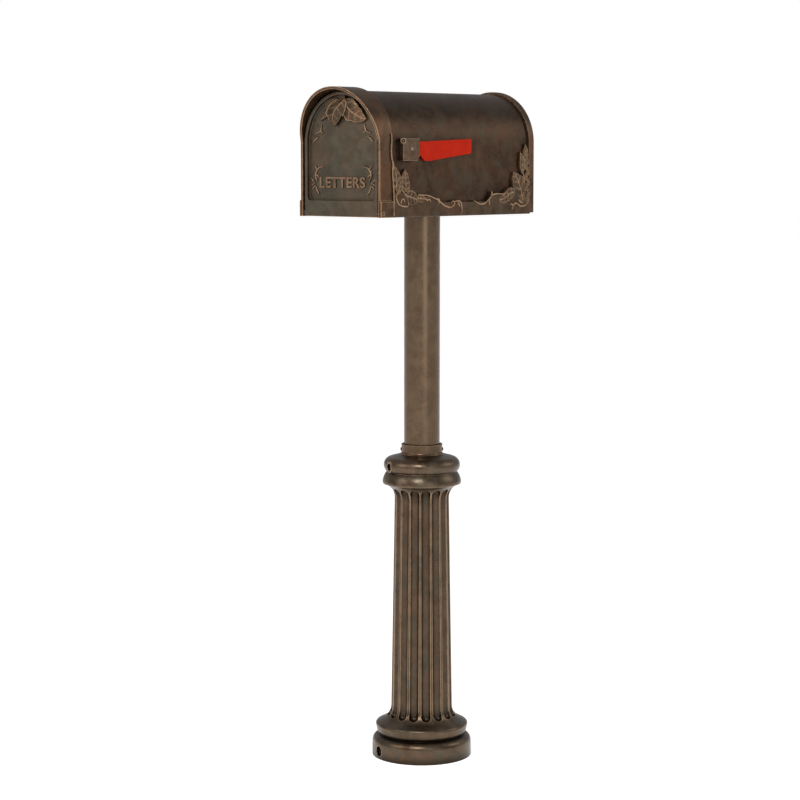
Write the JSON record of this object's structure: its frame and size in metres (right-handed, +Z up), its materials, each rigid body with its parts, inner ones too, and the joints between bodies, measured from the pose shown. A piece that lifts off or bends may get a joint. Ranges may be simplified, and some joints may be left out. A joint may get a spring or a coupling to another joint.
{
  "type": "post mounted mailbox",
  "caption": "Arched curbside mailbox with a drop-down front door, side signal flag and leaf ornament, on a round tube post with a fluted cast base.",
  "frame": {"origin": "post axis at ground level, on the underside of the foot flange", "axes": "+Z up along the post, the door faces -Y, the flag is on the +X side"},
  "size_m": [0.2354, 0.513, 1.426],
  "materials": {
    "barrel_finish": "aged bronze coating with worn edges",
    "hood_finish": "aged bronze coating with worn edges",
    "rail_finish": "aged bronze coating with worn edges",
    "door_finish": "aged bronze coating with worn edges",
    "leaf_finish": "aged bronze coating with worn edges",
    "bracket_finish": "aged bronze coating with worn edges",
    "tube_finish": "aged bronze coating with worn edges",
    "collar_finish": "aged bronze coating with worn edges",
    "base_finish": "aged bronze coating with worn edges",
    "cast_plain": "as cast",
    "flag_red": "satin red paint",
    "steel": "plated",
    "blackened_steel": "blackened",
    "zinc_plate": "zinc plated",
    "magnet": "dull black",
    "nylon": "moulded black nylon"
  },
  "bodies": {
    "mailbox": {"barrel_shell": "barrel_finish", "floor_plate": "barrel_finish", "front_hood": "hood_finish", "rear_cap": "hood_finish", "rail_front_right": "rail_finish", "rail_front_left": "rail_finish", "rail_rear_right": "rail_finish", "rail_rear_left": "rail_finish", "rail_screws": "steel", "hood_screws": "steel", "rear_cap_screws": "steel", "hinge_pins": "blackened_steel", "hinge_washers": "nylon", "catch_magnet": "magnet", "magnet_holder": "zinc_plate", "magnet_screws": "steel", "flag_bracket": "bracket_finish", "flag_corner_pin": "blackened_steel", "flag_spring_washer": "steel", "flag_pivot_pin": "steel", "flag_pivot_nut": "steel", "flag_bracket_screws": "steel", "post_tube": "tube_finish", "mounting_head": "cast_plain", "head_set_screws": "blackened_steel", "box_bolts": "steel", "box_washers": "steel", "collar_ring": "collar_finish", "collar_screws": "blackened_steel", "base_column": "base_finish", "base_set_screws": "blackened_steel", "base_foot_screws": "blackened_steel", "foot_flange": "cast_plain", "flange_set_screws": "steel"},
    "door": {"door_panel": "door_finish", "strike_plate": "zinc_plate", "strike_screws": "steel", "door_leaf_pull": "leaf_finish", "pull_screws": "steel"},
    "flag": {"flag_blade": "flag_red", "flag_bushing": "nylon"}
  },
  "joints": [
    {"name": "door_hinge", "type": "hinge", "parent": "mailbox", "child": "door", "pos_m": [0, -0.2425, 1.171], "axis": [1, 0, 0], "range_deg": [0, 95]},
    {"name": "flag_pivot", "type": "hinge", "parent": "mailbox", "child": "flag", "pos_m": [0.1089, -0.1584, 1.3016], "axis": [1, 0, 0], "range_deg": [0, 90]}
  ]
}
